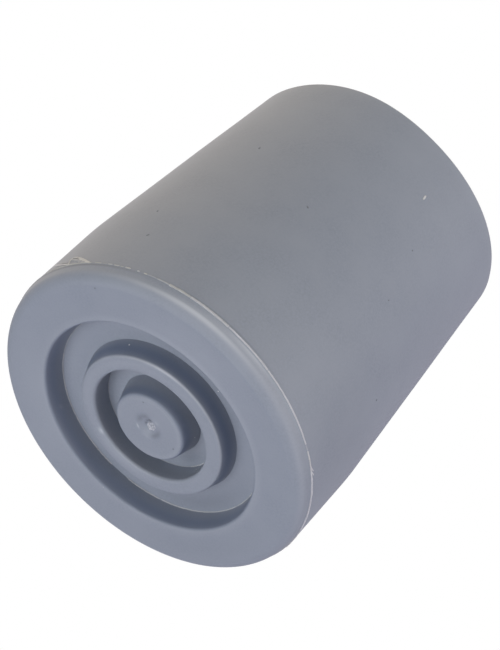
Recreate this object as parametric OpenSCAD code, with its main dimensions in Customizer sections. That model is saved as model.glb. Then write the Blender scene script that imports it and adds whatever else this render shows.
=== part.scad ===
// Rubber cane tip: one moulded ferrule, pushed over the end of a cane tube.
// All sizes in millimetres. The tread faces down and lies on z = 0, the origin
// is the middle of the tread, and the socket opens upwards at the mouth.

/* [Body] */
// Height from the tread to the mouth
overall_h = 42.3; // [38:0.1:60]
// Outer diameter at the mould's parting line, over its flash, the widest place
base_d = 38.2; // [36:0.1:48]
// Height of the parting line above the tread
parting_h = 2; // [1.8:0.1:3]
// Height at which the near upright band ends and the taper begins
band_h = 12.2; // [6:0.1:20]
// Draft of the band between the parting line and the taper, in degrees
band_draft = 1.3; // [0:0.1:3]
// Radius that blends the band into the taper
band_blend = 40; // [5:1:80]
// Thickness of the wall at the mouth
mouth_wall = 5.15; // [3:0.05:6]
// Rounding of the mouth's outer edge
lip_r = 0.5; // [0.2:0.1:1.2]

/* [Socket] */
// Diameter of the cane tube that the socket takes
bore_d = 22; // [19:0.1:23]
// Depth of the socket, from the mouth to its floor
socket_depth = 32; // [20:0.5:35]
// Rounding of the mouth's inner edge, which leads the tube in
lead_r = 1; // [0.2:0.1:1.2]
// Fillet between the socket's wall and its floor
socket_fillet = 1.5; // [0.2:0.1:3]

/* [Tread] */
// Rounding of the tread's outer edge
tread_r = 1.45; // [0.5:0.05:1.8]
// Draft of the rim between the tread and the parting line, in degrees
rim_draft = 12; // [0:1:20]
// Diameter of the centre disc
disc_d = 8.5; // [6:0.1:12]
// Width of the inner groove at its crest
inner_groove_w = 2.8; // [1.8:0.05:3.2]
// Depth of the inner groove
inner_groove_depth = 2.5; // [0.8:0.05:3]
// Draft of the disc's wall in that groove, in degrees
disc_draft = 13.5; // [5:0.5:18]
// Draft of the ring's wall in that groove, in degrees
ring_draft = 4.5; // [2:0.5:14]
// Width of the ring between the two grooves
ring_w = 1.8; // [1.4:0.05:3]
// Distance that the ring stands back from the tread
ring_setback = 0.15; // [0:0.05:0.5]
// Width of the outer groove at its crest
outer_groove_w = 4.4; // [3:0.1:5]
// Depth of the outer groove
outer_groove_depth = 2.3; // [1:0.05:3]
// Draft of the outer groove's walls, in degrees
outer_groove_draft = 16; // [5:1:20]
// Rounding of every crest that meets a groove
crest_r = 0.4; // [0.1:0.05:0.6]

/* [Gate mark] */
// Diameter of the shallow dish around the sprue's witness
gate_d = 3.1; // [2:0.1:4]
// Depth of that dish
gate_depth = 0.3; // [0.1:0.05:0.5]
// Diameter of the witness left where the sprue was broken off
sprue_d = 1.1; // [0.5:0.05:1.4]

/* [Hidden] */
rubber_grey = [0.43, 0.46, 0.51];
// Sides of a full turn, the largest turn that one step of a rounding makes,
// and the fewest steps in a rounding
turn_sides = 180;
arc_step = 12;
least_steps = 3;
// Radii at the crests and at the groove floors, from the middle outwards
disc_r = disc_d / 2;
ring_inner_r = disc_r + inner_groove_w;
ring_outer_r = ring_inner_r + ring_w;
rim_inner_r = ring_outer_r + outer_groove_w;
disc_spread = tan(disc_draft);
ring_spread = tan(ring_draft);
outer_spread = tan(outer_groove_draft);
// Radii of the outer wall, from the tread to the mouth
base_r = base_d / 2;
tread_edge_r = base_r - parting_h * tan(rim_draft);
band_r = base_r - (band_h - parting_h) * tan(band_draft);
bore_r = bore_d / 2;
mouth_r = bore_r + mouth_wall;
socket_floor_z = overall_h - socket_depth;
// The dish is a cap of this sphere
gate_sphere_r = (pow(gate_d / 2, 2) + pow(gate_depth, 2)) / (2 * gate_depth);

// Corners of the half section as [radius, height, rounding], from the axis
// along the tread, up the outer wall, over the mouth and down the socket
corners = [
    [0, 0, 0],
    [disc_r, 0, crest_r],
    [disc_r + inner_groove_depth * disc_spread, inner_groove_depth, 0],
    [ring_inner_r - (inner_groove_depth - ring_setback) * ring_spread, inner_groove_depth, 0],
    [ring_inner_r, ring_setback, crest_r],
    [ring_outer_r, ring_setback, crest_r],
    [ring_outer_r + (outer_groove_depth - ring_setback) * outer_spread, outer_groove_depth, 0],
    [rim_inner_r - outer_groove_depth * outer_spread, outer_groove_depth, 0],
    [rim_inner_r, 0, crest_r],
    [tread_edge_r, 0, tread_r],
    [base_r, parting_h, 0],
    [band_r, band_h, band_blend],
    [mouth_r, overall_h, lip_r],
    [bore_r, overall_h, lead_r],
    [bore_r, socket_floor_z, socket_fillet],
    [0, socket_floor_z, 0],
];

function unit(v) = v / norm(v);

// Points of the arc of radius corner[2] that is tangent to both sides of a
// corner, or the corner itself where it has no rounding
function rounded_corner(before, corner, after) =
    let (
        p = [corner[0], corner[1]],
        u = unit([before[0], before[1]] - p),
        v = unit([after[0], after[1]] - p),
        half = acos(u * v) / 2,
        centre = p + unit(u + v) * corner[2] / sin(half),
        start = p + u * corner[2] / tan(half) - centre,
        turn = 180 - 2 * half,
        side = sign(v[0] * u[1] - v[1] * u[0]),
        steps = max(least_steps, ceil(turn / arc_step))
    )
    corner[2] == 0 ? [p] : [
        for (i = [0:steps])
            let (a = side * turn * i / steps)
            centre + [start[0] * cos(a) - start[1] * sin(a), start[0] * sin(a) + start[1] * cos(a)]
    ];

function rounded_outline(c) = [
    for (i = [0:len(c) - 1])
        each rounded_corner(c[(i + len(c) - 1) % len(c)], c[i], c[(i + 1) % len(c)])
];

// The whole ferrule as one turned form: tread rings, tapered wall and socket
module ferrule() {
    rotate_extrude($fn = turn_sides)
        polygon(rounded_outline(corners));
}

// Shallow dish that keeps the sprue's witness clear of the floor
module gate_dish() {
    translate([0, 0, gate_depth - gate_sphere_r])
        sphere(r = gate_sphere_r, $fn = turn_sides);
}

// Stub in the middle of the dish, level with the tread
module sprue_witness() {
    cylinder(d = sprue_d, h = 2 * gate_depth, $fn = turn_sides);
}

module cane_tip() {
    color(rubber_grey) {
        difference() {
            ferrule();
            gate_dish();
        }
        sprue_witness();
    }
}

cane_tip();
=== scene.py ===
"""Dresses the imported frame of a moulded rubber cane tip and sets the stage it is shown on."""

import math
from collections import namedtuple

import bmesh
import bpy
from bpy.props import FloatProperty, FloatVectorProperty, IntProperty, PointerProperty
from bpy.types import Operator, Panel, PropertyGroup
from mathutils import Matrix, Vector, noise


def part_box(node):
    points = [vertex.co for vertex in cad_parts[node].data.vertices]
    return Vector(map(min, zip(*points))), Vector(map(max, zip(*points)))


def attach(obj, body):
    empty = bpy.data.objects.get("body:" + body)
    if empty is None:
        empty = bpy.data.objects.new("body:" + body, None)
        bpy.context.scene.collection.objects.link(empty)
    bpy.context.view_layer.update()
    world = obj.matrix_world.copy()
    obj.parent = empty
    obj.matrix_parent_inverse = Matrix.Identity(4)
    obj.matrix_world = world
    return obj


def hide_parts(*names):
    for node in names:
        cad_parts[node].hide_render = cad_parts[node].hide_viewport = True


bl_info = {
    "name": "Rubber Cane Tip",
    "version": (1, 0, 0),
    "blender": (4, 5, 0),
    "location": "3D View > Sidebar > Cane Tip",
    "description": "Moulded ferrule with its flash, gate mark and specks, and a pale stage",
    "category": "Object",
}

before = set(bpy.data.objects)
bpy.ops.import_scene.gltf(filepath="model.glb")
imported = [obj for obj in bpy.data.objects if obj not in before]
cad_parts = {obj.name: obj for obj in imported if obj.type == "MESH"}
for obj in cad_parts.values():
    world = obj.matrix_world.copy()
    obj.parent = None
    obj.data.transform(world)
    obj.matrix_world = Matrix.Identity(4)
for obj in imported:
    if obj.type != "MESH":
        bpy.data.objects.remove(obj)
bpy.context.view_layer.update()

MM = 0.001
NODE = "cane_tip"
BODY = "root"
_, node_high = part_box(NODE)

# One ring of the turned mesh: its radius and height, how far it lies on a
# rounded crest from 0 to 1, and whether the surface breaks there
Ring = namedtuple("Ring", "radius height crest sharp")

# A stretch of flash: from one angle to another in degrees, how far it reaches
# as a share of the full reach, how whitened it is and how stained, from 0 to 1,
# and its thickness as a share of the usual. Angles turn from the front, -Y,
# towards +X
# The whitening is partly the flash's own colour and partly painted light on its thin edge
Stretch = namedtuple("Stretch", "start end reach white stain girth", defaults=[1])

# Painted shade on a groove's wall: which wall, how deep the painted shade is from
# 0 to 1, the height that this is greatest at and how far it spreads in
# millimetres, and how far the surface has turned upright, from 0 to 1, where it
# is complete
Wall = namedtuple("Wall", "name depth height width turn")

# A soft light far off: its angle and elevation in degrees, how far it spreads
# from its middle in degrees, and its strength there in red, green and blue
SoftLight = namedtuple("SoftLight", "angle elevation spread strength")

# A speck on the surface: its angle in degrees, its radius and height in
# millimetres, and its length and width in millimetres
Speck = namedtuple("Speck", "angle radius height length width")

# A strand of loose flash: its width and its girth at the start and at the end,
# as shares, how whitened and how stained it is from 0 to 1, and its points as
# (angle in degrees, radius, height), in millimetres
# The whitening is partly the strand's own colour and partly painted light
Strand = namedtuple("Strand", "width start end white stain points")

# A soft mark on the surface: its angle and how far it runs each way in degrees,
# its radius and height and how wide it is each way in millimetres, and how
# strong it is from 0 to 1, pale where positive and dark where negative
Mark = namedtuple("Mark", "angle run radius height width pale")

# How far off true a crest of the tread lies: its radius, the distance in x and
# y, and the distance inwards, in millimetres
Drift = namedtuple("Drift", "radius x y inward")

# How far off true the mouth's edge lies: its angle in degrees, and the distance
# outwards and downwards, in millimetres
Bend = namedtuple("Bend", "angle out down")


def length(name, description, millimetres):
    """A property that holds a size, with its default given in millimetres."""
    kind = {"min": 0, "precision": 5, "subtype": "DISTANCE", "unit": "LENGTH"}
    return FloatProperty(name=name, description=description, default=millimetres * MM, **kind)


def share(name, description, default):
    """A property that holds a share from 0 to 1."""
    kind = {"min": 0, "max": 1, "subtype": "FACTOR"}
    return FloatProperty(name=name, description=description, default=default, **kind)


def turn(name, description, degrees):
    """A property that holds an angle, with its default given in degrees."""
    kind = {"subtype": "ANGLE", "unit": "ROTATION"}
    return FloatProperty(name=name, description=description, default=math.radians(degrees), **kind)


def colour(name, description, red, green, blue):
    """A property that holds a linear colour."""
    kind = {"min": 0, "max": 1, "size": 3, "subtype": "COLOR"}
    return FloatVectorProperty(name=name, description=description, default=(red, green, blue), **kind)


class FerruleSizes(PropertyGroup):
    """Sizes of the turned form, which follow the solid part."""

    parting_height: length("Parting height", "Height of the mould's parting line above the tread", 2)
    band_height: length("Band height", "Height at which the taper begins", 12.2)
    band_draft: turn("Band draft", "Draft of the band above the parting line", 1.3)
    band_blend: length("Band blend", "Radius that blends the band into the taper", 40)
    mouth_wall: length("Mouth wall", "Thickness of the wall at the mouth", 5.15)
    lip_rounding: length("Lip rounding", "Rounding of the mouth's outer edge", 0.5)
    bore_radius: length("Bore radius", "Radius of the socket", 11)
    socket_depth: length("Socket depth", "Depth of the socket from the mouth", 32)
    lead_rounding: length("Lead rounding", "Rounding of the mouth's inner edge", 1)
    socket_fillet: length("Socket fillet", "Fillet between the socket's wall and floor", 1.5)
    tread_rounding: length("Tread rounding", "Rounding of the tread's outer edge", 1.45)
    rim_draft: turn("Rim draft", "Draft of the rim below the parting line", 12)
    disc_radius: length("Disc radius", "Radius of the centre disc", 4.25)
    inner_width: length("Inner groove width", "Width of the inner groove at its crest", 2.8)
    inner_depth: length("Inner groove depth", "Depth of the inner groove", 2.5)
    disc_draft: turn("Disc draft", "Draft of the disc's wall in the inner groove", 13.5)
    ring_draft: turn("Ring draft", "Draft of the ring's wall in the inner groove", 4.5)
    ring_width: length("Ring width", "Width of the ring between the grooves", 1.8)
    ring_setback: length("Ring setback", "Distance that the ring stands back from the tread", 0.15)
    outer_width: length("Outer groove width", "Width of the outer groove at its crest", 4.4)
    outer_depth: length("Outer groove depth", "Depth of the outer groove", 2.3)
    outer_draft: turn("Outer groove draft", "Draft of the outer groove's walls", 16)
    crest_rounding: length("Crest rounding", "Rounding of the crests that meet a groove", 0.4)
    gate_radius: length("Gate radius", "Radius of the shallow dish round the sprue's stub", 1.55)
    gate_depth: length("Gate depth", "Depth of that dish", 0.3)
    unevenness: length("Unevenness", "How far the moulded surface wanders from true", 0.03)
    sides: IntProperty(name="Sides", description="Sides of a full turn", default=288, min=48, max=720)
    spacing: length("Spacing", "Longest step along the straight parts of the outline", 0.9)


class FlashSizes(PropertyGroup):
    """Sizes of the thin waste that the mould left along its joins."""

    reach: length("Reach", "How far the parting flash stands out at its widest", 0.08)
    thickness: length("Thickness", "Thickness of the flash at its edge", 0.1)
    tilt: length("Tilt", "How far the parting flash drifts up and down along its way", 0.14)
    groove_reach: length("Groove reach", "How far the flash stands up at a groove's floor", 0.1)
    strand: length("Strand", "Width of the loose strand of flash", 0.13)
    stub_radius: length("Stub radius", "Radius of the broken sprue", 0.58)
    stub_height: length("Stub height", "Height of the broken sprue", 0.27)


class Finish(PropertyGroup):
    """Colours and gloss of the rubber, its flash and what clings to it, and the colours of painted light
    and shade.
    """

    rubber: colour("Rubber", "Colour of the rubber", 0.204, 0.227, 0.276)
    rubber_pale: colour("Pale rubber", "Colour of the rubber's paler clouds", 0.22, 0.243, 0.292)
    # The deep rubber colour is painted shade for the grooves' walls
    painted_wall_shade: colour("Deep rubber", "Colour of the grooves' walls", 0.131, 0.16, 0.231)
    # The next two colours paint highlights and light along with scuffs, and shade along with smudges
    scuff: colour("Scuff", "Colour of burnished scuffs", 0.4, 0.42, 0.47)
    soil: colour("Soil", "Colour of dark marks", 0.05, 0.055, 0.075)
    roughness: share("Roughness", "Roughness of the moulded surface", 0.45)
    # The flash colour is partly the flash's own whitening and partly painted light on its thin edge
    flash: colour("Flash", "Colour of whitened flash", 0.5, 0.5, 0.54)
    stain: colour("Stain", "Colour of yellowed flash", 0.4, 0.4, 0.3)
    dust: colour("Dust", "Colour of pale dust", 0.6, 0.6, 0.62)
    grit: colour("Grit", "Colour of dark grit", 0.17, 0.183, 0.22)


class Stage(PropertyGroup):
    """The camera, lamps, world and floor."""

    lens: FloatProperty(name="Lens", description="Focal length", default=221.5, min=1, unit="CAMERA")
    distance: length("Distance", "Distance from the camera to the point it looks at", 427.3)
    aim_side: length("Aim side", "How far beside the axis the camera looks", 0.04)
    aim_height: length("Aim height", "Height at which the camera looks", 19)
    elevation: turn("Elevation", "How far the camera looks up from below", 38.28)
    roll: turn("Roll", "Turn of the camera about its own axis", 44.7)
    floor_radius: length("Floor radius", "Radius of the floor", 3000)
    floor_gap: length("Floor gap", "How far the floor lies under the tread", 0.1)
    floor: colour("Floor colour", "Colour of the floor", 0.86, 0.86, 0.86)
    room_level: share("Room level", "Light of the room between the soft lights", 0)


# ---------------------------------------------------------------- outline


# The largest turn of a rounding's steps in degrees, and the fewest steps
STEP_TURN = 6
LEAST_STEPS = 6
# A rounding tighter than this counts as a crest, which is a little rougher
CREST_LIMIT = 2 * MM
# The grooves lie within this share of the base's radius, and below this height
GROOVES_REACH = 0.72
GROOVES_TOP = 3 * MM
# How many times finer the outline's steps are on the disc and in the grooves
DISC_FINENESS = 6
GROOVE_FINENESS = 3
# Extra rings lie this far from the parting line, so that its edge shades true
NEAR_PARTING = [0.08 * MM, 0.16 * MM, 0.26 * MM, 0.4 * MM]
# The shares and sizes of the swells in the moulded surface
SWELLS = [(0.65, 9 * MM), (0.35, 3.5 * MM)]


def rounded_corner(before, corner, after):
    """Rings of the arc that is tangent to both sides of a corner, or the bare corner as a break."""
    place = Vector(corner[:2])
    rounding = corner[2]
    if rounding == 0:
        return [Ring(place.x, place.y, 0, True)]
    back = (Vector(before[:2]) - place).normalized()
    on = (Vector(after[:2]) - place).normalized()
    half = back.angle(on) / 2
    centre = place + (back + on).normalized() * rounding / math.sin(half)
    start = place + back * rounding / math.tan(half) - centre
    swing = math.pi - 2 * half
    side = math.copysign(1, on.x * back.y - on.y * back.x)
    steps = max(LEAST_STEPS, math.ceil(math.degrees(swing) / STEP_TURN))
    rings = []
    for i in range(steps + 1):
        point = centre + start @ Matrix.Rotation(-side * swing * i / steps, 2)
        crest = math.sin(math.pi * i / steps) if rounding < CREST_LIMIT else 0
        rings.append(Ring(point.x, point.y, crest, False))
    return rings


def ferrule_corners(sizes):
    """Corners of the half section as (radius, height, rounding), from the dish out and over the mouth."""
    base = node_high.x - bpy.context.scene.cane_tip_flash.reach
    top = node_high.z
    disc = sizes.disc_radius
    ring_in = disc + sizes.inner_width
    ring_out = ring_in + sizes.ring_width
    rim_in = ring_out + sizes.outer_width
    tread_edge = base - sizes.parting_height * math.tan(sizes.rim_draft)
    band = base - (sizes.band_height - sizes.parting_height) * math.tan(sizes.band_draft)
    disc_slope = math.tan(sizes.disc_draft)
    ring_slope = math.tan(sizes.ring_draft)
    outer_slope = math.tan(sizes.outer_draft)
    inner_rise = sizes.inner_depth - sizes.ring_setback
    outer_rise = sizes.outer_depth - sizes.ring_setback
    crest = sizes.crest_rounding
    socket_floor = top - sizes.socket_depth
    return [
        (sizes.gate_radius, 0, 0),
        (disc, 0, crest),
        (disc + sizes.inner_depth * disc_slope, sizes.inner_depth, 0),
        (ring_in - inner_rise * ring_slope, sizes.inner_depth, 0),
        (ring_in, sizes.ring_setback, crest),
        (ring_out, sizes.ring_setback, crest),
        (ring_out + outer_rise * outer_slope, sizes.outer_depth, 0),
        (rim_in - sizes.outer_depth * outer_slope, sizes.outer_depth, 0),
        (rim_in, 0, crest),
        (tread_edge, 0, sizes.tread_rounding),
        (base, sizes.parting_height, 0),
        (band, sizes.band_height, sizes.band_blend),
        (sizes.bore_radius + sizes.mouth_wall, top, sizes.lip_rounding),
        (sizes.bore_radius, top, sizes.lead_rounding),
        (sizes.bore_radius, socket_floor, sizes.socket_fillet),
        (0, socket_floor, 0),
    ]


def dish_rings(sizes):
    """Rings of the shallow dish in the middle of the disc, from the axis outwards."""
    steps = 10
    rings = []
    for i in range(steps):
        out = i / steps
        height = sizes.gate_depth * (0.5 + 0.5 * math.cos(math.pi * out))
        rings.append(Ring(sizes.gate_radius * out, height, 0, False))
    return rings


def outline_rings(sizes):
    """Every ring of the ferrule's outline, with its straight parts stepped."""
    corners = ferrule_corners(sizes)
    rings = dish_rings(sizes)
    for i, corner in enumerate(corners):
        before = corners[max(i - 1, 0)]
        after = corners[min(i + 1, len(corners) - 1)]
        rings.extend(rounded_corner(before, corner, after))
    stepped = [rings[0]]
    for ring in rings[1:]:
        last = stepped[-1]
        run = math.hypot(ring.radius - last.radius, ring.height - last.height)
        widest = max(ring.radius, last.radius)
        if widest < sizes.disc_radius:
            spacing = sizes.spacing / DISC_FINENESS
        elif widest < node_high.x * GROOVES_REACH and max(ring.height, last.height) < GROOVES_TOP:
            spacing = sizes.spacing / GROOVE_FINENESS
        else:
            spacing = sizes.spacing
        steps = max(1, math.ceil(run / spacing))
        parts = [i / steps for i in range(1, steps)]
        if last.height == sizes.parting_height:
            parts.extend(gap / run for gap in NEAR_PARTING)
        if ring.height == sizes.parting_height:
            parts.extend(1 - gap / run for gap in NEAR_PARTING)
        for part in sorted(parts):
            radius = last.radius + (ring.radius - last.radius) * part
            height = last.height + (ring.height - last.height) * part
            stepped.append(Ring(radius, height, 0, False))
        stepped.append(ring)
    return stepped


def seat(rings, radius, height):
    """The outline's point nearest a radius and height, and the way that the surface faces there."""
    place = Vector((radius, height))
    best = None
    for first, second in zip(rings, rings[1:]):
        start = Vector(first[:2])
        along = Vector(second[:2]) - start
        if along.length == 0:
            continue
        part = min(max((place - start).dot(along) / along.length_squared, 0), 1)
        near = start + along * part
        gap = (place - near).length
        if best is None or gap < best[0]:
            best = (gap, near, Vector((along.y, -along.x)).normalized())
    return best[1], best[2]


def spin(radius, height, angle):
    """The point at a radius, height and angle, which turns from the front towards +X."""
    return Vector((radius * math.sin(angle), -radius * math.cos(angle), height))


# ------------------------------------------------------------------ meshes


def new_object(name, build, material):
    """Makes an object of a bmesh, in a material, and puts it in the scene."""
    mesh = bpy.data.meshes.new(name)
    build.to_mesh(mesh)
    build.free()
    mesh.materials.append(material)
    made = bpy.data.objects.new(name, mesh)
    bpy.context.scene.collection.objects.link(made)
    return made


def finished_object(name, build, material):
    """Makes a smooth shaded piece of a bmesh, which rides on the body."""
    bmesh.ops.recalc_face_normals(build, faces=build.faces)
    piece = new_object(name, build, material)
    piece.data.polygons.foreach_set("use_smooth", [True] * len(piece.data.polygons))
    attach(piece, BODY)
    return piece


def bridge(build, lower, upper):
    """Joins two loops of vertices with faces, where a loop of one vertex is a tip."""
    count = max(len(lower), len(upper))
    for i in range(count):
        j = (i + 1) % count
        if len(lower) == 1:
            build.faces.new((lower[0], upper[i], upper[j]))
        elif len(upper) == 1:
            build.faces.new((lower[i], upper[0], lower[j]))
        else:
            build.faces.new((lower[i], upper[i], upper[j], lower[j]))


def share_layer(build, name):
    """The layer that keeps a share on each vertex, which is made where it is missing."""
    layers = build.verts.layers.float
    return layers.get(name) or layers.new(name)


def add_loop(build, places, **shares):
    """Adds a loop of vertices, and keeps the given shares on each of them."""
    layers = [(share_layer(build, name), value) for name, value in shares.items()]
    loop = [build.verts.new(place) for place in places]
    for vertex in loop:
        for layer, value in layers:
            vertex[layer] = value
    return loop


def skin(build, loops):
    """Joins each loop of vertices to the next one."""
    for lower, upper in zip(loops, loops[1:]):
        bridge(build, lower, upper)


def polar(place):
    """The radius and the angle in degrees of a point, as spin counts them."""
    return math.hypot(place.x, place.y), math.degrees(math.atan2(place.x, -place.y))


def wander(place, size):
    """Smooth noise from 0 to 1 that changes over about the given size."""
    return 0.5 + 0.5 * noise.noise(place / size)


def turned_mesh(rings, sides, unevenness):
    """Spins the outline into a closed mesh whose surface wanders a little inwards from true."""
    build = bmesh.new()
    loops = []
    for ring in rings:
        count = sides if ring.radius > 0 else 1
        places = [spin(ring.radius, ring.height, math.tau * i / sides) for i in range(count)]
        loops.append(add_loop(build, places, crest=ring.crest))
    skin(build, loops)
    bmesh.ops.recalc_face_normals(build, faces=build.faces)
    build.normal_update()
    for vertex in build.verts:
        swell = sum(part * wander(vertex.co, size) for part, size in SWELLS)
        vertex.co -= vertex.normal * unevenness * swell
    for ring, loop in zip(rings, loops):
        if ring.sharp and ring.radius > 0:
            for first, second in zip(loop, loop[1:] + loop[:1]):
                build.edges.get((first, second)).smooth = False
    return build


def mark_painted_wall_shade(build, corners):
    """Marks the painted shade on the grooves' walls, which makes them deeper in colour than their floors.
    """
    wall_shade_layer = share_layer(build, "deep")
    radii = [corner[0] for corner in corners]
    inner_middle = (radii[2] + radii[3]) / 2
    outer_middle = (radii[6] + radii[7]) / 2
    spans = {
        "disc": (radii[1] - WIDE_CREST, inner_middle),
        "ring": (inner_middle, radii[4] + NARROW_CREST),
        "ring rear": (radii[5] - NARROW_CREST, outer_middle),
        "rim": (outer_middle, radii[8] + WIDE_CREST),
    }
    for vertex in build.verts:
        if vertex.co.z > GROOVES_TOP:
            continue
        radius = polar(vertex.co)[0]
        for wall in WALLS:
            inside, outside = spans[wall.name]
            if inside < radius < outside:
                off = (vertex.co.z / MM - wall.height) / wall.width
                upright = min((1 - abs(vertex.normal.z)) / wall.turn, 1)
                vertex[wall_shade_layer] = wall.depth * upright * math.exp(-off * off)


def mark_tones(build, marks):
    """Marks the soft pale and dark places: painted highlights and light with scuffs in one layer, and
    painted shade with smudges in the other.
    """
    light_and_scuff_layer = share_layer(build, "scuff")
    shade_and_smudge_layer = share_layer(build, "soil")
    for vertex in build.verts:
        radius, degrees = polar(vertex.co)
        pale = dark = 0
        for mark in marks:
            along = ((degrees - mark.angle + 180) % 360 - 180) / mark.run
            across = math.hypot(radius / MM - mark.radius, vertex.co.z / MM - mark.height) / mark.width
            strength = mark.pale * math.exp(-along * along - across * across)
            pale += max(strength, 0)
            dark += max(-strength, 0)
        vertex[light_and_scuff_layer] = min(pale, 1)
        vertex[shade_and_smudge_layer] = min(dark, 1)


def smooth_step(part):
    """A share from 0 to 1 that starts and ends softly."""
    part = min(max(part, 0), 1)
    return part * part * (3 - 2 * part)


def values_at(rows, place):
    """What the rows hold at a place between two of them, or zeros outside them."""
    for low, high in zip(rows, rows[1:]):
        if low[0] <= place < high[0]:
            part = smooth_step((place - low[0]) / (high[0] - low[0]))
            return [a + part * (b - a) for a, b in zip(low[1:], high[1:])]
    return [0] * (len(rows[0]) - 1)


def shift_crests(build, drifts):
    """Moves the crests of the tread a little off centre, and leaves the grooves' floors in place."""
    for vertex in build.verts:
        part = 1 - vertex.co.z / DRIFT_HEIGHT
        radius = polar(vertex.co)[0] / MM
        if part > 0 and radius > 0:
            x, y, inward = values_at(drifts, radius)
            vertex.co.x += part * (x * MM - vertex.co.x * inward / radius)
            vertex.co.y += part * (y * MM - vertex.co.y * inward / radius)


def bend_mouth(build, bends, bore_radius):
    """Bends the outside of the wall near the mouth a little off true."""
    for vertex in build.verts:
        radius, degrees = polar(vertex.co)
        part = smooth_step((vertex.co.z - BEND_HEIGHT) / (node_high.z - BEND_HEIGHT))
        part *= smooth_step((radius - bore_radius) / BEND_WALL)
        if part > 0:
            out, down = values_at(bends, degrees)
            vertex.co.x += part * out * MM * vertex.co.x / radius
            vertex.co.y += part * out * MM * vertex.co.y / radius
            vertex.co.z -= part * down * MM


def flash_value(stretches, degrees, field, softness):
    """A field of the stretches at an angle, faded over some degrees at each end."""
    total = 0
    for stretch in stretches:
        into = min(degrees - stretch.start, stretch.end - degrees) / softness
        total = max(total, min(max(into + 0.5, 0), 1) * getattr(stretch, field))
    return total


def fin_mesh(stretches, softness, root, out, count, reach, thickness):
    """A thin fin round a ring. Out is (radius, height), and the functions take an angle in degrees."""
    build = bmesh.new()
    out = Vector(out).normalized()
    across = Vector((-out.y, out.x))
    buried = 0.06 * MM
    lean = 0.35
    sections = []
    for i in range(count):
        degrees = 360 * i / count - 180
        angle = math.radians(degrees)
        foot = Vector(root(degrees))
        jitter = noise.noise(spin(foot.x, foot.y, angle) / (0.35 * MM))
        girth = thickness(degrees) * (0.8 + 0.4 * wander(spin(foot.x, 0, angle), 2 * MM))
        tip = foot + out * reach(degrees) + across * girth * lean * jitter
        points = [
            foot - out * buried + across * girth,
            tip + across * girth / 2,
            tip - across * girth / 2,
            foot - out * buried - across * girth,
        ]
        places = [spin(point.x, point.y, angle) for point in points]
        white = flash_value(stretches, degrees, "white", softness)
        stain = flash_value(stretches, degrees, "stain", softness)
        sections.append(add_loop(build, places, white=white, stain=stain))
    skin(build, sections + sections[:1])
    return build


def smooth_path(points, steps):
    """A smooth line through points, as a Catmull-Rom curve."""
    line = []
    for i in range(len(points) - 1):
        before = points[max(i - 1, 0)]
        start, end = points[i], points[i + 1]
        after = points[min(i + 2, len(points) - 1)]
        for step in range(steps):
            t = step / steps
            bend = 2 * before - 5 * start + 4 * end - after
            twist = 3 * start - before - 3 * end + after
            line.append(0.5 * (2 * start + (end - before) * t + bend * t * t + twist * t * t * t))
    line.append(points[-1])
    return line


def add_strand(build, strand, width):
    """Adds a flattened strand of flash."""
    points = []
    for angle, radius, height in strand.points:
        points.append(spin(radius * MM, height * MM, math.radians(angle)))
    line = smooth_path(points, steps=8)
    around = 8
    taper = 6
    loops = []
    for i, place in enumerate(line):
        part = i / (len(line) - 1)
        ahead = line[min(i + 1, len(line) - 1)] - line[max(i - 1, 0)]
        outward = Vector((place.x, place.y, 0)).normalized()
        side = ahead.cross(outward).normalized()
        rise = side.cross(ahead).normalized()
        girth = width * strand.width * (0.75 + 0.5 * wander(place, 0.3 * MM))
        girth *= min(1, strand.start + part * taper) * min(1, strand.end + (1 - part) * taper)
        places = []
        for k in range(around):
            swing = math.tau * k / around
            offset = side * math.cos(swing) * girth / 2 + rise * math.sin(swing) * girth / 4
            places.append(place + offset)
        loops.append(add_loop(build, places, white=strand.white, stain=strand.stain))
    skin(build, loops)
    build.faces.new(loops[0])
    build.faces.new(loops[-1])


# How far each grain is turned on from the last, in radians, and how high a
# grain is as a share of its width
GRAIN_TURN = 2.4
GRAIN_RISE = 0.3


def add_speck(build, rings, speck, seed):
    """Adds a small uneven grain that sits half sunk in the surface."""
    near, facing = seat(rings, speck.radius * MM, speck.height * MM)
    angle = math.radians(speck.angle)
    place = spin(near.x, near.y, angle)
    normal = spin(facing.x, facing.y, angle).normalized()
    tangent = normal.orthogonal().normalized()
    tangent.rotate(Matrix.Rotation(seed * GRAIN_TURN, 3, normal))
    turned = Matrix((tangent, normal.cross(tangent), normal)).transposed()
    grain = bmesh.ops.create_icosphere(build, subdivisions=2, radius=0.5)["verts"]
    for vertex in grain:
        lumps = 0.75 + 0.5 * wander(vertex.co + Vector((seed, 0, 0)), 0.4)
        shape = Vector((speck.length * lumps, speck.width * lumps, speck.width * GRAIN_RISE)) * MM
        vertex.co = place + turned @ (vertex.co * shape)
        vertex.co.z = max(vertex.co.z, 0)


# ---------------------------------------------------------------- shading


def feed(tree, node, key, value):
    """Gives a node's input a value, or links another node's output to it."""
    if isinstance(value, bpy.types.NodeSocket):
        tree.links.new(value, node.inputs[key])
    else:
        node.inputs[key].default_value = value


def add_node(tree, kind, x, y, feeds=None, **settings):
    """Adds a node at a place in the tree, with its settings and what feeds its inputs."""
    node = tree.nodes.new(kind)
    node.location = (x, y)
    for name, value in settings.items():
        setattr(node, name, value)
    for key, value in (feeds or {}).items():
        feed(tree, node, key, value)
    return node


def add_attribute(tree, x, y, name):
    """Adds a node that reads a share kept on the mesh, and returns that share."""
    return add_node(tree, "ShaderNodeAttribute", x, y, attribute_name=name).outputs["Fac"]


def add_math(tree, x, y, operation, *values, clamp=False):
    """Adds a node that works out a number from others, and returns the result."""
    feeds = dict(enumerate(values))
    node = add_node(tree, "ShaderNodeMath", x, y, feeds, operation=operation, use_clamp=clamp)
    return node.outputs[0]


def add_blend(tree, x, y, factor, first, second):
    """Adds a node that blends two colours, and returns the blend."""
    feeds = {"Factor": factor, "A": first, "B": second}
    return add_node(tree, "ShaderNodeMix", x, y, feeds, data_type="RGBA").outputs["Result"]


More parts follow.
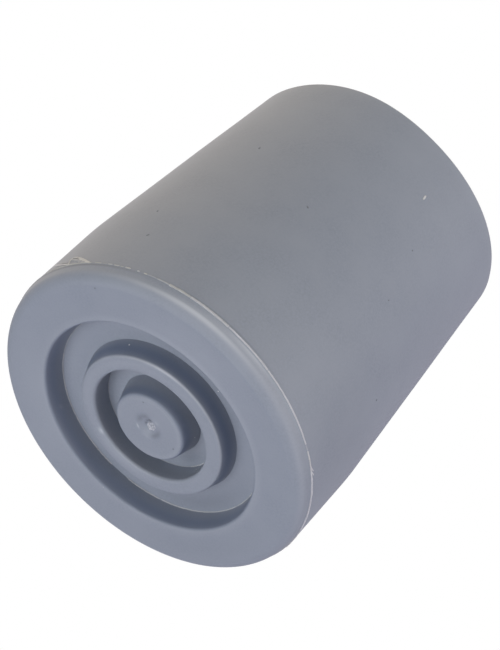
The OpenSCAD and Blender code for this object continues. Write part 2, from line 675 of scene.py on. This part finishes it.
def new_group(name, inputs, outputs):
    """Makes a shader node group with named inputs and outputs, and returns it with its end nodes."""
    tree = bpy.data.node_groups.new(name, "ShaderNodeTree")
    for label, kind, default in inputs:
        socket = tree.interface.new_socket(label, in_out="INPUT", socket_type="NodeSocket" + kind)
        socket.default_value = default
    for label, kind in outputs:
        tree.interface.new_socket(label, in_out="OUTPUT", socket_type="NodeSocket" + kind)
    start = add_node(tree, "NodeGroupInput", -1100, 0)
    end = add_node(tree, "NodeGroupOutput", 500, 0)
    return tree, start.outputs, end


def cloud_group():
    """Blends two colours in soft clouds over the surface."""
    name = "Cloudy Colour"
    if name in bpy.data.node_groups:
        return bpy.data.node_groups[name]
    inputs = [
        ("Colour", "Color", (0.5, 0.5, 0.5, 1)),
        ("Cloud Colour", "Color", (0.6, 0.6, 0.6, 1)),
        ("Scale", "Float", 200),
        ("Contrast", "Float", 1),
    ]
    tree, given, end = new_group(name, inputs, [("Colour", "Color")])
    place = add_node(tree, "ShaderNodeTexCoord", -900, -200)
    feeds = {"Vector": place.outputs["Object"], "Scale": given["Scale"], "Detail": 4, "Roughness": 0.55}
    clouds = add_node(tree, "ShaderNodeTexNoise", -650, 0, feeds)
    centred = add_math(tree, -400, 0, "SUBTRACT", clouds.outputs["Fac"], 0.5)
    spread = add_math(tree, -150, 0, "MULTIPLY_ADD", centred, given["Contrast"], 0.5, clamp=True)
    blend = add_blend(tree, 200, 0, spread, given["Colour"], given["Cloud Colour"])
    feed(tree, end, "Colour", blend)
    return tree


def grain_group():
    """Height of a fine moulded grain with broader swells under it."""
    name = "Moulded Grain"
    if name in bpy.data.node_groups:
        return bpy.data.node_groups[name]
    inputs = [("Scale", "Float", 3000), ("Swell", "Float", 0.5)]
    tree, given, end = new_group(name, inputs, [("Height", "Float")])
    place = add_node(tree, "ShaderNodeTexCoord", -900, -200).outputs["Object"]
    feeds = {"Vector": place, "Scale": given["Scale"], "Detail": 3}
    fine = add_node(tree, "ShaderNodeTexNoise", -400, 100, feeds).outputs["Fac"]
    feeds = {"Vector": place, "Scale": add_math(tree, -650, -300, "MULTIPLY", given["Scale"], 0.15)}
    broad = add_node(tree, "ShaderNodeTexNoise", -400, -300, feeds).outputs["Fac"]
    feed(tree, end, "Height", add_math(tree, 0, 0, "MULTIPLY_ADD", broad, given["Swell"], fine))
    return tree


def cleared_tree(block):
    """The node tree of a material or a world, emptied."""
    block.use_nodes = True
    block.node_tree.nodes.clear()
    return block.node_tree


def new_material(name):
    """Makes a node material and returns it with its tree and Principled shader."""
    material = bpy.data.materials.new(name)
    tree = cleared_tree(material)
    shader = add_node(tree, "ShaderNodeBsdfPrincipled", 300, 0)
    add_node(tree, "ShaderNodeOutputMaterial", 600, 0, {"Surface": shader.outputs["BSDF"]})
    return material, tree, shader


def place_group(tree, group, x, y, feeds):
    """Places a node group in a tree, and returns its first output."""
    return add_node(tree, "ShaderNodeGroup", x, y, feeds, node_tree=group).outputs[0]


def opaque(rgb, level=1):
    """A colour, or a share of it, with full alpha."""
    return (*(level * part for part in rgb), 1)


def add_clouds(tree, x, plain, cloud, scale, contrast):
    """Adds soft clouds of two colours, and returns the colour."""
    feeds = {"Scale": scale, "Contrast": contrast, "Colour": plain, "Cloud Colour": cloud}
    return place_group(tree, cloud_group(), x, 200, feeds)


def add_grain(tree, shader, scale, depth, swell):
    """Gives a shader its moulded grain as a bump."""
    grain = place_group(tree, grain_group(), -400, -400, {"Scale": scale, "Swell": swell})
    feeds = {"Strength": 1, "Distance": depth, "Height": grain}
    bump = add_node(tree, "ShaderNodeBump", 0, -400, feeds)
    feed(tree, shader, "Normal", bump.outputs["Normal"])


def rubber_material():
    """Satin moulded rubber: grain and clouds of colour, painted shade on the walls, painted highlights
    with scuffs, and painted shade with smudges.
    """
    name = "Moulded Rubber"
    if name in bpy.data.materials:
        return bpy.data.materials[name]
    finish = bpy.context.scene.cane_tip_finish
    material, tree, shader = new_material(name)
    dark, pale = opaque(finish.rubber, 0.93), opaque(finish.rubber, 1.07)
    tone = add_clouds(tree, -1250, dark, pale, scale=4200, contrast=3)
    tone = add_clouds(tree, -1000, tone, opaque(finish.rubber_pale), scale=220, contrast=2.2)
    # Painted shade on the grooves' walls, then painted light and highlights with scuffs, then painted
    # shade with smudges, over the clouded rubber
    layers = {"deep": finish.painted_wall_shade, "scuff": finish.scuff, "soil": finish.soil}
    for column, (label, layer_tint) in enumerate(layers.items()):
        x = -700 + 250 * column
        marked = add_attribute(tree, x - 250, 500, label)
        tone = add_blend(tree, x, 300, marked, tone, opaque(layer_tint))
    feed(tree, shader, "Base Color", tone)
    crest = add_attribute(tree, -500, -100, "crest")
    feeds = {"Value": crest, "To Min": finish.roughness, "To Max": finish.roughness + 0.15}
    gloss = add_node(tree, "ShaderNodeMapRange", -200, -100, feeds)
    feed(tree, shader, "Roughness", gloss.outputs["Result"])
    add_grain(tree, shader, scale=3500, depth=0.008 * MM, swell=1.5)
    return material


def flash_material():
    """Thin whitened flash, yellowed in places, whose paleness is partly painted light on its thin edge.
    """
    name = "Whitened Flash"
    if name in bpy.data.materials:
        return bpy.data.materials[name]
    finish = bpy.context.scene.cane_tip_finish
    material, tree, shader = new_material(name)
    pale, dark = opaque(finish.flash), opaque(finish.flash, 0.85)
    clouds = add_clouds(tree, -700, pale, dark, scale=2500, contrast=2.5)
    stain = add_attribute(tree, -700, -50, "stain")
    stained = add_blend(tree, -400, 200, stain, clouds, opaque(finish.stain))
    white = add_attribute(tree, -400, -50, "white")
    whitened = add_blend(tree, -100, 200, white, opaque(finish.rubber), stained)
    feed(tree, shader, "Base Color", whitened)
    feed(tree, shader, "Roughness", 0.45)
    add_grain(tree, shader, scale=8000, depth=0.01 * MM, swell=1)
    return material


def speck_material(name, tint):
    """Matt grains of dust or grit."""
    if name in bpy.data.materials:
        return bpy.data.materials[name]
    material, tree, shader = new_material(name)
    clouds = add_clouds(tree, -500, opaque(tint), opaque(tint, 0.8), scale=6000, contrast=3)
    feed(tree, shader, "Base Color", clouds)
    feed(tree, shader, "Roughness", 0.7)
    add_grain(tree, shader, scale=12000, depth=0.01 * MM, swell=1)
    return material


# -------------------------------------------------------------- operators


# How far past a crest a wall's painted shade can run: on the disc and the rim,
# and on the ring
WIDE_CREST = 0.5 * MM
NARROW_CREST = 0.3 * MM
# Painted shade on the grooves' walls, as a deeper colour
WALLS = [
    Wall("disc", 1, 0.6, 0.6, 0.25),
    Wall("ring", 0.05, 1.3, 0.6, 0.7),
    Wall("ring rear", 1, 1.15, 0.75, 0.7),
    Wall("rim", 0.9, 0.8, 0.9, 0.3),
]
# Soft pale and dark places. Many stand in for fine light and shade, and the
# rest are scuffs, thin films and smudges
MARKS = [
    # The tread's outer edge: painted highlights, faint painted light and shade, painted
    # shadow under the flash, and a dark line along the flash above it
    Mark(-16, 24, 18.71, 0.81, 0.28, 0.85),
    Mark(-14, 12, 18.79, 0.98, 0.16, 0.24),
    Mark(-15, 26, 17.9, 0.08, 0.3, -0.035),
    Mark(-15, 26, 18.36, 0.35, 0.22, 0.04),
    Mark(6, 9, 18.93, 1.55, 0.16, 0.6),
    Mark(40, 45, 18.6, 0.6, 0.4, 0.2),
    Mark(-66, 24, 18.98, 1.84, 0.12, -0.5),
    Mark(-5, 25, 19, 2.22, 0.12, -0.3),
    # The flat of the tread, with broad patches of painted light and shade
    Mark(-135, 40, 15.5, 0, 2.2, 0.08),
    Mark(-8, 30, 15.5, 0, 2.2, 0.08),
    Mark(122, 40, 15.8, 0, 2.2, -0.1),
    Mark(-8, 30, 14.2, 0, 1.1, 0.07),
    Mark(-135, 25, 14.2, 0, 1, 0.05),
    # Painted light on the flats of the disc and the ring
    Mark(-40, 60, 3, 0, 1.2, 0.07),
    Mark(-65, 95, 8, 0.15, 0.5, 0.12),
    # The floors of the grooves, with painted shade and painted light
    Mark(118, 32, 11.2, 2.3, 1.2, -0.26),
    Mark(110, 14, 5.8, 2.4, 0.7, -0.3),
    Mark(5, 40, 10.3, 2.3, 0.5, -0.12),
    Mark(-5, 35, 11.9, 2.3, 0.5, 0.1),
    Mark(-112, 18, 11.6, 2.3, 0.9, 0.09),
    Mark(-145, 20, 10.4, 2.3, 0.7, 0.1),
    Mark(-55, 28, 6, 2.5, 0.8, 0.11),
    Mark(50, 18, 6, 2.5, 0.7, 0.06),
    # Painted highlights along the crests of the ring and the rim
    Mark(0, 90, 3.76, 0, 0.2, 0.12),
    Mark(130, 60, 3.84, 0, 0.2, 0.1),
    Mark(-5, 18, 7.12, 0.2, 0.14, 1),
    Mark(-153.5, 3, 7.5, 0.15, 0.22, 0.9),
    Mark(172, 26, 7.25, 0.15, 0.16, 0.22),
    Mark(180, 32, 7.7, 0.15, 0.35, 0.12),
    Mark(0, 75, 8.84, 0.2, 0.14, 0.7),
    Mark(-18, 13, 8.84, 0.2, 0.2, 0.6),
    Mark(180, 60, 9.0, 0.3, 0.2, 0.12),
    Mark(0, 90, 13.62, 0.02, 0.24, 0.2),
    Mark(180, 90, 13.62, 0.02, 0.2, 0.08),
    # Painted light on the walls of the inner groove
    Mark(180, 45, 7.0, 0.5, 0.4, 0.2),
    Mark(180, 45, 6.9, 1.5, 0.7, 0.11),
    Mark(0, 50, 4.7, 2, 0.4, 0.2),
    # A smudge on the rim's inner wall
    Mark(-141, 1.4, 12.85, 1.1, 0.2, 0.25),
    # The gate's dish: painted shade in its hollows and beside the stub, and painted light on its edge
    Mark(-92, 24, 1.3, 0.02, 0.36, -0.33),
    Mark(-52, 24, 1.3, 0.02, 0.36, -0.33),
    Mark(82, 26, 1.25, 0.03, 0.32, -0.27),
    Mark(118, 26, 1.25, 0.03, 0.32, -0.27),
    Mark(-100, 22, 0.52, 0.23, 0.14, -0.6),
    Mark(-55, 20, 0.68, 0.18, 0.14, -0.6),
    Mark(-26, 16, 0.88, 0.12, 0.15, -0.9),
    Mark(-144, 11, 1.52, 0, 0.1, 0.8),
    Mark(162, 20, 1.5, 0, 0.25, 0.2),
    Mark(15, 14, 1.35, 0.02, 0.25, 0.25),
    # Painted light and shade on the body beside the mouth and above the parting line
    Mark(30, 110, 17, 38, 9, 0.07),
    Mark(45, 35, 19, 8, 6, -0.08),
    # Painted highlights along the mouth's outer edge
    Mark(0, 500, 16.2, 41.9, 0.9, 0.07),
    Mark(0, 500, 16, 42.25, 0.25, 0.5),
]

# The crests of the disc, the ring and the rim, and where their shift fades out
DRIFTS = [
    Drift(2.5, 0, 0, 0),
    Drift(3.9, 0.09, 0.13, 0.08),
    Drift(5.6, 0.09, 0.13, 0.08),
    Drift(6.9, -0.01, 0.13, 0.13),
    Drift(7.4, -0.01, 0.13, 0.13),
    Drift(8.6, 0.09, -0.02, 0.05),
    Drift(9.6, 0.09, -0.02, 0.05),
    Drift(12.8, -0.01, 0.2, 0.07),
    Drift(13.6, -0.01, 0.2, 0.07),
    Drift(16, 0, 0, 0),
]
# The height at which that shift has faded out
DRIFT_HEIGHT = 1.6 * MM
# The mouth's edge on the side that faces the front
BENDS = [
    Bend(-115, 0, 0),
    Bend(-85, -0.06, 0.02),
    Bend(-65, -0.08, 0.12),
    Bend(-32, 0, 0.06),
    Bend(2, -0.06, 0.2),
    Bend(55, 0.17, 0),
    Bend(68, 0.13, 0),
    Bend(86, -0.06, 0),
    Bend(112, 0, 0),
]
# The height at which the bend begins, and how deep in the wall it fades
BEND_HEIGHT = 26 * MM
BEND_WALL = 4 * MM


class CANE_TIP_OT_ferrule(Operator):
    """Turn the moulded ferrule with its grooves, socket and gate dish"""

    bl_idname = "cane_tip.ferrule"
    bl_label = "Ferrule"

    def execute(self, context):
        sizes = context.scene.cane_tip_sizes
        rings = outline_rings(sizes)
        build = turned_mesh(rings, sizes.sides, sizes.unevenness)
        mark_painted_wall_shade(build, ferrule_corners(sizes))
        mark_tones(build, MARKS)
        shift_crests(build, DRIFTS)
        bend_mouth(build, BENDS, sizes.bore_radius)
        piece = finished_object("ferrule", build, rubber_material())
        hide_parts(NODE)
        return {"FINISHED"}


# How many sections the flash has round the parting line, over how many degrees
# its stretches fade, and how deep it sinks where it is missing, as a share of
# its reach
PARTING_SECTIONS = 2880
PARTING_FADE = 0.4
PARTING_SINK = 0.25
PARTING_STRETCHES = [
    Stretch(-190, -78, 0.5, 0.35, 0.5),
    Stretch(-78, -57, 0.6, 0.6, 0.6),
    Stretch(-55.5, -52.6, 0.7, 0.6, 0.5, 0.9),
    Stretch(-52.4, -50.6, 0.6, 0.35, 0.6, 0.9),
    Stretch(-50.2, -48.4, 0.7, 0.65, 0.2, 0.9),
    Stretch(-47.8, -45.6, 0.7, 0.7, 0.4, 0.9),
    Stretch(-45.3, -44.1, 0.7, 0.6, 0.5, 0.8),
    Stretch(-43.4, -41.3, 0.8, 0.8, 0.3),
    Stretch(-38.9, -37.9, 0.9, 0.8, 0.1),
    Stretch(-36.4, -35.0, 0.8, 0.8, 0.5),
    Stretch(-34.8, -31.5, 0.7, 0.3, 0.1),
    Stretch(-31.5, -27.0, 0.6, 0.5, 0.2),
    Stretch(-27.0, -19.0, 0.9, 0.7, 0.35, 1.6),
    Stretch(-19.0, -4.0, 0.9, 0.75, 0.1, 1.8),
    Stretch(-4.0, 13.8, 0.9, 0.85, 0, 1.2),
    Stretch(13.8, 41.6, 0.9, 0.95, 0),
    Stretch(41.6, 44.0, 0.8, 0.35, 0),
    Stretch(44.0, 50.4, 1, 1, 0.1),
    Stretch(50.4, 80.0, 1, 1, 0, 1.3),
    Stretch(80.0, 92, 0.9, 0.8, 0.1),
    Stretch(92, 170, 0.6, 0.5, 0.3),
]


class CANE_TIP_OT_parting_flash(Operator):
    """Add the ragged fin of flash along the mould's parting line"""

    bl_idname = "cane_tip.parting_flash"
    bl_label = "Parting Flash"

    def execute(self, context):
        sizes = context.scene.cane_tip_sizes
        flash = context.scene.cane_tip_flash
        base = node_high.x - flash.reach

        def reach(degrees):
            place = spin(base, 0, math.radians(degrees))
            ragged = 0.8 + 0.2 * noise.noise(place / (0.5 * MM)) + 0.15 * noise.noise(place / (0.15 * MM))
            gaps = flash_value(PARTING_STRETCHES, degrees, "reach", PARTING_FADE)
            return flash.reach * (min(gaps * ragged, 1) * (1 + PARTING_SINK) - PARTING_SINK)

        def root(degrees):
            lift = -flash.tilt * (0.2 + math.sin(math.radians(degrees)))
            return base + min(lift, 0) * math.tan(sizes.rim_draft), sizes.parting_height + lift

        def thickness(degrees):
            girth = flash_value(PARTING_STRETCHES, degrees, "girth", PARTING_FADE)
            return flash.thickness * max(girth, 0.5)

        out = (1, 0)
        build = fin_mesh(PARTING_STRETCHES, PARTING_FADE, root, out, PARTING_SECTIONS, reach, thickness)
        finished_object("parting_flash", build, flash_material())
        return {"FINISHED"}


CURL = [
    # The loop that has curled off the parting line
    Strand(1.5, 0.9, 0.4, 1, 0.25, [
        (-67.6, 19, 2.1), (-68.3, 19.01, 2.5), (-69.1, 19.02, 3), (-69.1, 19.02, 3.4),
        (-68.1, 19.02, 3.55), (-66.2, 19.02, 3.38), (-63.7, 19.02, 3.04), (-61.4, 19.02, 2.68),
        (-59.2, 19.02, 2.32), (-57.2, 19, 2.04),
    ]),
    # The limb beside it
    Strand(1.9, 0.3, 0.5, 1, 0.25, [
        (-65.9, 19, 3.22), (-64.3, 19.02, 2.96), (-62.1, 19.02, 2.62), (-59.9, 19.01, 2.3),
        (-57.5, 18.98, 2.04),
    ]),
    # The pale film between them, which also stands in for light inside the loop
    Strand(4.6, 0.7, 0.5, 0.3, 0.4, [
        (-68.9, 18.94, 3.1), (-67.3, 18.94, 3.1), (-65, 18.94, 2.8), (-62.4, 18.93, 2.45),
        (-59.6, 18.92, 2.15),
    ]),
    # The band that runs up the wall, and the thread along it
    Strand(1.6, 0.5, 0.5, 1, 0.15, [
        (-83, 18.96, 4.5), (-75.9, 19.02, 3.1), (-72, 19.03, 2.56), (-69.3, 19.03, 2.33),
        (-66.9, 18.98, 2.12),
    ]),
    Strand(0.6, 0.2, 0.2, 0.6, 0.4, [
        (-81.4, 18.95, 4.85), (-74.4, 19, 3.35), (-70.8, 19.02, 2.78), (-68.7, 19, 2.5),
    ]),
]
# The angles at which the barbs start, and the points of a barb, with their
# angles counted from there
BARB_STARTS = (49.6, 51.3)
BARB = [(0, 18.92, 1.83), (0.9, 19.03, 1.88), (2.1, 19.06, 2.04), (3, 19.02, 2.18)]


class CANE_TIP_OT_loose_flash(Operator):
    """Add the strand of flash that has curled off the parting line, and two barbs"""

    bl_idname = "cane_tip.loose_flash"
    bl_label = "Loose Flash"

    def execute(self, context):
        width = context.scene.cane_tip_flash.strand
        curl = bmesh.new()
        for strand in CURL:
            add_strand(curl, strand, width)
        finished_object("flash_curl", curl, flash_material())
        barbs = bmesh.new()
        for start in BARB_STARTS:
            points = [(start + angle, radius, height) for angle, radius, height in BARB]
            add_strand(barbs, Strand(1, 1, 0.15, 1, 0, points), width)
        finished_object("flash_barbs", barbs, flash_material())
        return {"FINISHED"}


# The same for the flash in the grooves
GROOVE_SECTIONS = 1440
GROOVE_FADE = 3
GROOVE_SINK = 0.3
OUTER_GROOVE_STRETCHES = [
    Stretch(-190, -150, 0.9, 0.75, 0.25),
    Stretch(-150, -110, 0.9, 0.6, 0.3),
    Stretch(-110, -60, 0.6, 0.4, 0.4),
    Stretch(-50, 60, 0.4, 0.3, 0.3),
    Stretch(70, 100, 0.8, 0.75, 0.2),
    Stretch(100, 150, 1, 0.85, 0.2),
    Stretch(150, 170, 0.9, 0.75, 0.25),
]
INNER_GROOVE_STRETCHES = [
    Stretch(-190, -100, 0.4, 0.3, 0.4),
    Stretch(60, 75, 0.5, 0.3, 0.3),
    Stretch(75, 92, 0.9, 0.8, 0.2),
    Stretch(97, 118, 0.9, 0.75, 0.2),
    Stretch(118, 130, 0.6, 0.4, 0.3),
    Stretch(130, 170, 0.5, 0.3, 0.3),
]


def groove_fin(foot, stretches, flash):
    """The low fin of flash at the foot of a groove's outer wall."""

    def reach(degrees):
        place = spin(*foot, math.radians(degrees))
        ragged = 0.75 + 0.35 * noise.noise(place / (0.4 * MM))
        gaps = flash_value(stretches, degrees, "reach", GROOVE_FADE)
        return flash.groove_reach * (gaps * ragged * (1 + GROOVE_SINK) - GROOVE_SINK)

    def root(degrees):
        return foot

    def thickness(degrees):
        return flash.thickness * 0.7

    out = (-0.35, -1)
    return fin_mesh(stretches, GROOVE_FADE, root, out, GROOVE_SECTIONS, reach, thickness)


class CANE_TIP_OT_groove_flash(Operator):
    """Add the fine flash at the foot of each groove's outer wall"""

    bl_idname = "cane_tip.groove_flash"
    bl_label = "Groove Flash"

    def execute(self, context):
        flash = context.scene.cane_tip_flash
        corners = ferrule_corners(context.scene.cane_tip_sizes)
        outer = groove_fin(corners[7][:2], OUTER_GROOVE_STRETCHES, flash)
        finished_object("outer_groove_flash", outer, flash_material())
        inner = groove_fin(corners[3][:2], INNER_GROOVE_STRETCHES, flash)
        finished_object("inner_groove_flash", inner, flash_material())
        return {"FINISHED"}


class CANE_TIP_OT_sprue_stub(Operator):
    """Add the broken stub of the sprue in its dish"""

    bl_idname = "cane_tip.sprue_stub"
    bl_label = "Sprue Stub"

    def execute(self, context):
        sizes = context.scene.cane_tip_sizes
        flash = context.scene.cane_tip_flash
        build = bmesh.new()
        white_layer = share_layer(build, "white")
        share_layer(build, "stain")
        count = 48
        steps = 14
        off_centre = Vector((0.16 * MM, -0.18 * MM, 0))
        oval = 1.35
        lit_side = math.radians(170)
        root_height = sizes.gate_depth + 0.02 * MM
        buried_height = sizes.gate_depth + 0.1 * MM
        clear_height = 0.01 * MM
        loops = []
        for i in range(steps + 1):
            part = i / steps
            loop = []
            for k in range(1 if i == 0 else count):
                angle = math.tau * k / count
                uneven = 1 + 0.12 * noise.noise(Vector((math.cos(angle), math.sin(angle), 3)) * 1.6)
                radius = flash.stub_radius * part * uneven
                place = spin(radius, 0, angle)
                place.y *= oval
                lumps = noise.noise(place / (0.22 * MM) + Vector((0, 0, 5)))
                crater = 0.7 + 0.3 * math.sin(math.pi * min(part / 1.3, 1)) ** 2
                rise = flash.stub_height * (1 - part**6) * crater * (0.8 + 0.7 * lumps)
                height = buried_height if i == steps else max(root_height - rise, clear_height)
                vertex = build.verts.new(place + off_centre + Vector((0, 0, height)))
                # Painted light: the stub is painted whiter towards the lit side, over its own pale colour
                lit = 0.5 + 0.5 * math.cos(angle - lit_side) * part
                vertex[white_layer] = 0.25 + 0.6 * lit * wander(place, 0.2 * MM) + 0.35 * lit * part
                loop.append(vertex)
            loops.append(loop)
        skin(build, loops)
        build.faces.new(loops[-1])
        finished_object("sprue_stub", build, flash_material())
        return {"FINISHED"}


DUST = [
    Speck(-52.7, 9.2, 1.6, 0.21, 0.17),
    Speck(175.5, 13.56, 0, 0.1, 0.08),
    Speck(14.5, 10.0, 2.3, 0.16, 0.12),
    Speck(12.7, 16.8, 34.9, 0.75, 0.26),
    Speck(105.9, 6.2, 1.75, 0.12, 0.1),
    Speck(63.9, 5.0, 1.6, 0.12, 0.1),
]
GRIT = [
    Speck(-53, 17.3, 0, 0.26, 0.18),
    Speck(-45.2, 17.5, 27.1, 0.39, 0.21),
    Speck(-13.9, 17.9, 21.7, 0.39, 0.23),
    Speck(22.7, 17.3, 28.8, 0.26, 0.18),
    Speck(28.3, 17.9, 21.8, 0.26, 0.18),
    Speck(-53.5, 18.7, 12.3, 0.39, 0.18),
    Speck(-47.5, 18.8, 7.9, 0.39, 0.18),
    Speck(53.5, 18.5, 15, 0.26, 0.18),
    Speck(-42.7, 3.2, 0, 0.26, 0.18),
    Speck(86.5, 3.45, 0, 0.26, 0.18),
]


class CANE_TIP_OT_specks(Operator):
    """Scatter the specks of pale dust and dark grit"""

    bl_idname = "cane_tip.specks"
    bl_label = "Specks"

    def execute(self, context):
        finish = context.scene.cane_tip_finish
        rings = outline_rings(context.scene.cane_tip_sizes)
        kinds = {
            "dust_specks": (DUST, speck_material("Pale Dust", finish.dust)),
            "grit_specks": (GRIT, speck_material("Dark Grit", finish.grit)),
        }
        for name, (specks, material) in kinds.items():
            build = bmesh.new()
            for seed, speck in enumerate(specks):
                add_speck(build, rings, speck, seed)
            finished_object(name, build, material)
        return {"FINISHED"}


# ------------------------------------------------------------------ stage


# The floor fades to white between these distances from its middle, in metres
FADE_START = 0.06
FADE_END = 0.35


def floor_material(stage):
    """A pale floor that shows from above only, fades to white far off and lets light up through it."""
    material = bpy.data.materials.new("Pale Floor")
    tree = cleared_tree(material)
    paper = add_node(tree, "ShaderNodeBsdfDiffuse", 100, 100, {"Color": opaque(stage.floor)})
    white = add_node(tree, "ShaderNodeEmission", 100, -100)
    place = add_node(tree, "ShaderNodeTexCoord", -700, 0)
    feeds = {0: place.outputs["Object"]}
    away = add_node(tree, "ShaderNodeVectorMath", -500, 0, feeds, operation="LENGTH")
    feeds = {"Value": away.outputs["Value"], "From Min": FADE_START, "From Max": FADE_END}
    fade = add_node(tree, "ShaderNodeMapRange", -200, 0, feeds, interpolation_type="SMOOTHSTEP")
    feeds = {"Fac": fade.outputs["Result"], 1: paper.outputs["BSDF"], 2: white.outputs["Emission"]}
    faded = add_node(tree, "ShaderNodeMixShader", 400, 0, feeds)
    clear = add_node(tree, "ShaderNodeBsdfTransparent", 400, -200)
    path = add_node(tree, "ShaderNodeLightPath", -200, 500)
    geometry = add_node(tree, "ShaderNodeNewGeometry", -200, 300)
    seen, behind = path.outputs["Is Camera Ray"], geometry.outputs["Backfacing"]
    above = add_math(tree, 0, 400, "SUBTRACT", seen, behind, clamp=True)
    feeds = {"Fac": above, 1: clear.outputs["BSDF"], 2: faded.outputs["Shader"]}
    shown = add_node(tree, "ShaderNodeMixShader", 700, 0, feeds)
    add_node(tree, "ShaderNodeOutputMaterial", 900, 0, {"Surface": shown.outputs["Shader"]})
    return material


def add_floor(stage):
    """Lays the floor just under the tread."""
    build = bmesh.new()
    bmesh.ops.create_circle(build, cap_ends=True, segments=96, radius=stage.floor_radius)
    floor = new_object("floor", build, floor_material(stage))
    floor.location.z = -stage.floor_gap


# The room's soft lights
SOFT_LIGHTS = [
    SoftLight(-91, -76, 40, (3.8, 3.88, 3.95)),
    SoftLight(46, 12, 40, (2.62, 2.54, 2.52)),
    SoftLight(139, -2, 116, (0.61, 0.585, 0.675)),
    SoftLight(-102, 33, 60, (1.3, 1.165, 0.99)),
    SoftLight(-5, 10, 40, (2.14, 2.09, 1.97)),
    SoftLight(-164, 37, 20, (0.36, 0.37, 0.4)),
]


def soft_light_group():
    """Light of one soft round lamp in the room, for the way that a ray leaves."""
    name = "Soft Light"
    if name in bpy.data.node_groups:
        return bpy.data.node_groups[name]
    inputs = [
        ("Direction", "Vector", (0, 0, 1)),
        ("Edge", "Float", 0.5),
        ("Strength", "Color", (1, 1, 1, 1)),
    ]
    tree, given, end = new_group(name, inputs, [("Light", "Color")])
    way = add_node(tree, "ShaderNodeTexCoord", -900, -200)
    feeds = {0: way.outputs["Generated"], 1: given["Direction"]}
    towards = add_node(tree, "ShaderNodeVectorMath", -600, 0, feeds, operation="DOT_PRODUCT")
    feeds = {"Value": towards.outputs["Value"], "From Min": given["Edge"]}
    fade = add_node(tree, "ShaderNodeMapRange", -300, 0, feeds, interpolation_type="SMOOTHSTEP")
    feeds = {0: given["Strength"], "Scale": fade.outputs["Result"]}
    lit = add_node(tree, "ShaderNodeVectorMath", 0, 0, feeds, operation="SCALE")
    feed(tree, end, "Light", lit.outputs["Vector"])
    return tree


def add_world(stage):
    """A white surround: plain white to the camera, and a dim room with soft lights to the object."""
    world = bpy.data.worlds.new("White Surround")
    bpy.context.scene.world = world
    tree = cleared_tree(world)
    level = [stage.room_level] * 3
    for row, light in enumerate(SOFT_LIGHTS):
        rise = math.radians(light.elevation)
        feeds = {
            "Direction": spin(math.cos(rise), math.sin(rise), math.radians(light.angle)),
            "Edge": math.cos(math.radians(light.spread)),
            "Strength": opaque(light.strength),
        }
        glow = place_group(tree, soft_light_group(), -700, -200 * row, feeds)
        feeds = {0: glow, 1: level}
        total = add_node(tree, "ShaderNodeVectorMath", -400, -200 * row, feeds, operation="ADD")
        level = total.outputs["Vector"]
    room = add_node(tree, "ShaderNodeBackground", 0, 100, {"Color": level})
    white = add_node(tree, "ShaderNodeBackground", 0, -100, {"Color": (1, 1, 1, 1)})
    path = add_node(tree, "ShaderNodeLightPath", 0, 400)
    feeds = {
        "Fac": path.outputs["Is Camera Ray"],
        1: room.outputs["Background"],
        2: white.outputs["Background"],
    }
    shown = add_node(tree, "ShaderNodeMixShader", 300, 0, feeds)
    add_node(tree, "ShaderNodeOutputWorld", 600, 0, {"Surface": shown.outputs["Shader"]})


def add_camera(stage):
    """Sets the camera below the tread, looking up past it along the body."""
    camera = bpy.data.cameras.new("camera")
    camera.lens = stage.lens
    camera.clip_start = 0.01
    camera.clip_end = 10
    eye = bpy.data.objects.new("camera", camera)
    tilt = Matrix.Rotation(math.pi / 2 + stage.elevation, 4, "X")
    roll = Matrix.Rotation(stage.roll, 4, "Z")
    back = tilt @ Vector((0, 0, stage.distance))
    aim = Vector((stage.aim_side, 0, stage.aim_height))
    eye.matrix_world = Matrix.Translation(aim + back) @ tilt @ roll
    bpy.context.scene.collection.objects.link(eye)
    bpy.context.scene.camera = eye


class CANE_TIP_OT_stage(Operator):
    """Set the floor, the white surround, its soft lights and the camera"""

    bl_idname = "cane_tip.stage"
    bl_label = "Stage"

    def execute(self, context):
        stage = context.scene.cane_tip_stage
        add_floor(stage)
        add_world(stage)
        add_camera(stage)
        context.scene.view_settings.view_transform = "Standard"
        return {"FINISHED"}


class CANE_TIP_PT_finish(Panel):
    """Sizes and colours of the cane tip, and the steps that build it"""

    bl_label = "Cane Tip"
    bl_idname = "CANE_TIP_PT_finish"
    bl_space_type = "VIEW_3D"
    bl_region_type = "UI"
    bl_category = "Cane Tip"

    def draw(self, context):
        layout = self.layout
        for group in SETTINGS:
            settings = getattr(context.scene, group)
            box = layout.box()
            for name in settings.__annotations__:
                box.prop(settings, name)
        for step in STEPS:
            layout.operator(step.bl_idname)


SETTINGS = {
    "cane_tip_sizes": FerruleSizes,
    "cane_tip_flash": FlashSizes,
    "cane_tip_finish": Finish,
    "cane_tip_stage": Stage,
}
STEPS = (
    CANE_TIP_OT_ferrule,
    CANE_TIP_OT_parting_flash,
    CANE_TIP_OT_loose_flash,
    CANE_TIP_OT_groove_flash,
    CANE_TIP_OT_sprue_stub,
    CANE_TIP_OT_specks,
    CANE_TIP_OT_stage,
)


def register():
    """Registers the settings, the steps and the panel."""
    for name, group in SETTINGS.items():
        bpy.utils.register_class(group)
        setattr(bpy.types.Scene, name, PointerProperty(type=group))
    for step in STEPS:
        bpy.utils.register_class(step)
    bpy.utils.register_class(CANE_TIP_PT_finish)


def unregister():
    """Removes them again."""
    bpy.utils.unregister_class(CANE_TIP_PT_finish)
    for step in reversed(STEPS):
        bpy.utils.unregister_class(step)
    for name, group in reversed(SETTINGS.items()):
        delattr(bpy.types.Scene, name)
        bpy.utils.unregister_class(group)


def main():
    """Builds every piece and the stage."""
    register()
    bpy.ops.cane_tip.ferrule()
    bpy.ops.cane_tip.parting_flash()
    bpy.ops.cane_tip.loose_flash()
    bpy.ops.cane_tip.groove_flash()
    bpy.ops.cane_tip.sprue_stub()
    bpy.ops.cane_tip.specks()
    bpy.ops.cane_tip.stage()


if __name__ == "__main__":
    main()
